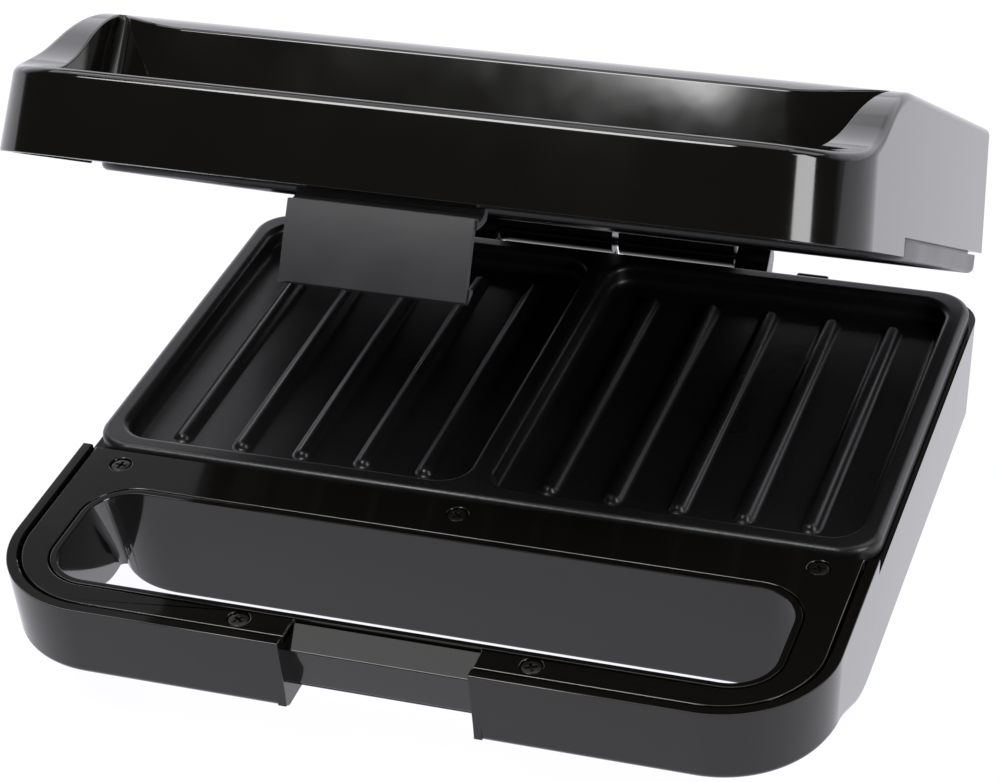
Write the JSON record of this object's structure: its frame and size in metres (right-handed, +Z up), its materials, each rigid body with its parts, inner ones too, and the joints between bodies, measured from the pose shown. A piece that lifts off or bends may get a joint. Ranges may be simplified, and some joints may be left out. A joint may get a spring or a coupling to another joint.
{
  "type": "sandwich toaster",
  "caption": "Countertop sandwich toaster: hinged half shells with ribbed hot plates, handle loops with hand holes, a clip latch, rubber feet and a rear cord inlet.",
  "frame": {"origin": "on the surface it stands on, under the middle of the whole toaster with its lid open at 32 degrees (bounding box in X and Y)", "axes": "+X to the right seen from the front, +Y towards the hinge at the rear, +Z up; the lid is stored open at 32 degrees"},
  "size_m": [0.238, 0.2426, 0.1831],
  "materials": {
    "shell_plastic": "high gloss black moulding",
    "cover_plastic": "gloss black moulding",
    "black_screws": "blackened steel",
    "plate_coating": "cast aluminium with black non-stick coating",
    "heater_steel": "drawn steel sheath",
    "sheet_steel": "bare sheet steel",
    "tray_steel": "aluminised sheet steel",
    "fuse_sleeve": "woven glass sleeve",
    "terminal_plastic": "matte natural nylon",
    "foot_rubber": "matte rubber",
    "gland_rubber": "matte rubber",
    "pin_steel": "drawn steel wire",
    "thermostat_body": "ceramic-filled moulding with a steel cap",
    "holder_plastic": "matte natural nylon",
    "red_lens": "clear tinted lens",
    "green_lens": "clear tinted lens",
    "latch_plastic": "satin black moulding"
  },
  "bodies": {
    "base": {"base_shell": "shell_plastic", "base_handle_cover": "cover_plastic", "base_cover_screws": "black_screws", "base_plate": "plate_coating", "base_heater": "heater_steel", "base_heater_clamps": "sheet_steel", "base_tray": "tray_steel", "base_tray_screws": "sheet_steel", "thermal_fuse": "fuse_sleeve", "terminal_block": "terminal_plastic", "feet": "foot_rubber", "cord_gland": "gland_rubber", "hinge_lugs": "shell_plastic", "hinge_pin": "pin_steel"},
    "lid": {"lid_shell": "shell_plastic", "lid_handle_cover": "cover_plastic", "lid_cover_screws": "black_screws", "lid_plate": "plate_coating", "lid_heater": "heater_steel", "lid_heater_clamps": "sheet_steel", "lid_tray": "tray_steel", "lid_tray_screws": "sheet_steel", "thermostat": "thermostat_body", "lamp_holder": "holder_plastic", "power_lens": "red_lens", "ready_lens": "green_lens", "latch_pin": "pin_steel"},
    "latch": {"latch": "latch_plastic"}
  },
  "joints": [
    {"name": "lid_hinge", "type": "hinge", "parent": "base", "child": "lid", "pos_m": [0, 0.10285, 0.0421], "axis": [-1, 0, 0], "range_deg": [-32, 66]},
    {"name": "latch_pivot", "type": "hinge", "parent": "lid", "child": "latch", "pos_m": [0, -0.07673, 0.16327], "axis": [-1, 0, 0], "range_deg": [-11, 35]}
  ]
}
